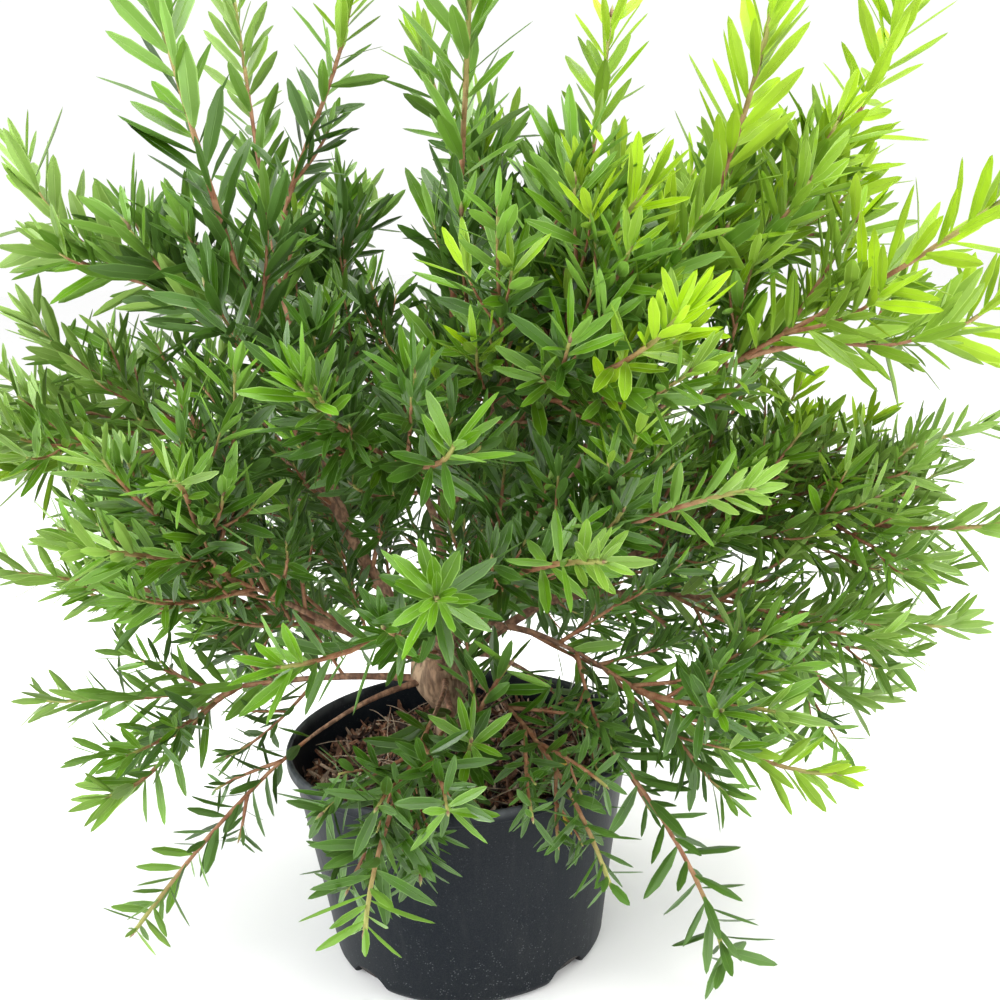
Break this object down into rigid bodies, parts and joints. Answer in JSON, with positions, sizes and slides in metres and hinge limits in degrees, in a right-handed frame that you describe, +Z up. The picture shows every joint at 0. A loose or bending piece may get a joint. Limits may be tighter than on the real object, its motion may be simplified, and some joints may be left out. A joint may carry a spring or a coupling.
{
  "type": "potted bottlebrush shrub",
  "caption": "Bushy leafy shrub with a short trunk, spreading and drooping boughs and narrow leaves, growing in a squat round nursery pot of bark mulch.",
  "frame": {"origin": "centre of the pot's flat underside", "axes": "+Z up; -Y towards the front of the plant; +X to the right when it is seen from the front"},
  "size_m": [0.9433, 0.7384, 0.8385],
  "materials": {
    "pot_plastic": "satin blue-black blow-moulded plastic, dusty, with a brighter rolled rim",
    "bark_mulch": "loose dark red-brown bark chips with a few pale specks",
    "trunk_bark": "pale tan, knobbly, finely fissured bark",
    "shoot_bark": "reddish-brown young bark with leaf scars",
    "foliage": "satin narrow leaves, dark green inside the crown and lime green at the tips"
  },
  "bodies": {
    "root": {"pot": "pot_plastic", "mulch": "bark_mulch", "trunk": "trunk_bark", "bough_left_upright": "shoot_bark", "foliage_left_upright": "foliage", "bough_centre_upright": "shoot_bark", "foliage_centre_upright": "foliage", "bough_right_upright": "shoot_bark", "foliage_right_upright": "foliage", "bough_back_upright": "shoot_bark", "foliage_back_upright": "foliage", "bough_left_middle": "shoot_bark", "foliage_left_middle": "foliage", "bough_left_low": "shoot_bark", "foliage_left_low": "foliage", "bough_front_centre": "shoot_bark", "foliage_front_centre": "foliage", "bough_front_right": "shoot_bark", "foliage_front_right": "foliage", "bough_right_middle": "shoot_bark", "foliage_right_middle": "foliage", "bough_front_drooping": "shoot_bark", "foliage_front_drooping": "foliage", "bough_front_low": "shoot_bark", "foliage_front_low": "foliage", "bough_left_drooping": "shoot_bark", "foliage_left_drooping": "foliage", "bough_rim_drooping": "shoot_bark", "foliage_rim_drooping": "foliage", "bough_right_drooping": "shoot_bark", "foliage_right_drooping": "foliage", "bough_back_left_middle": "shoot_bark", "foliage_back_left_middle": "foliage", "bough_back_right_middle": "shoot_bark", "foliage_back_right_middle": "foliage", "bough_back_left_upright": "shoot_bark", "foliage_back_left_upright": "foliage", "bough_left_high": "shoot_bark", "foliage_left_high": "foliage", "bough_left_front": "shoot_bark", "foliage_left_front": "foliage", "bough_front_high": "shoot_bark", "foliage_front_high": "foliage", "bough_front_right_high": "shoot_bark", "foliage_front_right_high": "foliage", "bough_right_high": "shoot_bark", "foliage_right_high": "foliage", "bough_right_low": "shoot_bark", "foliage_right_low": "foliage", "bough_right_front_low": "shoot_bark", "foliage_right_front_low": "foliage", "bough_back_left_high": "shoot_bark", "foliage_back_left_high": "foliage", "bough_back_right_high": "shoot_bark", "foliage_back_right_high": "foliage", "bough_back_left_low": "shoot_bark", "foliage_back_left_low": "foliage", "bough_back_right_low": "shoot_bark", "foliage_back_right_low": "foliage"}
  },
  "joints": []
}
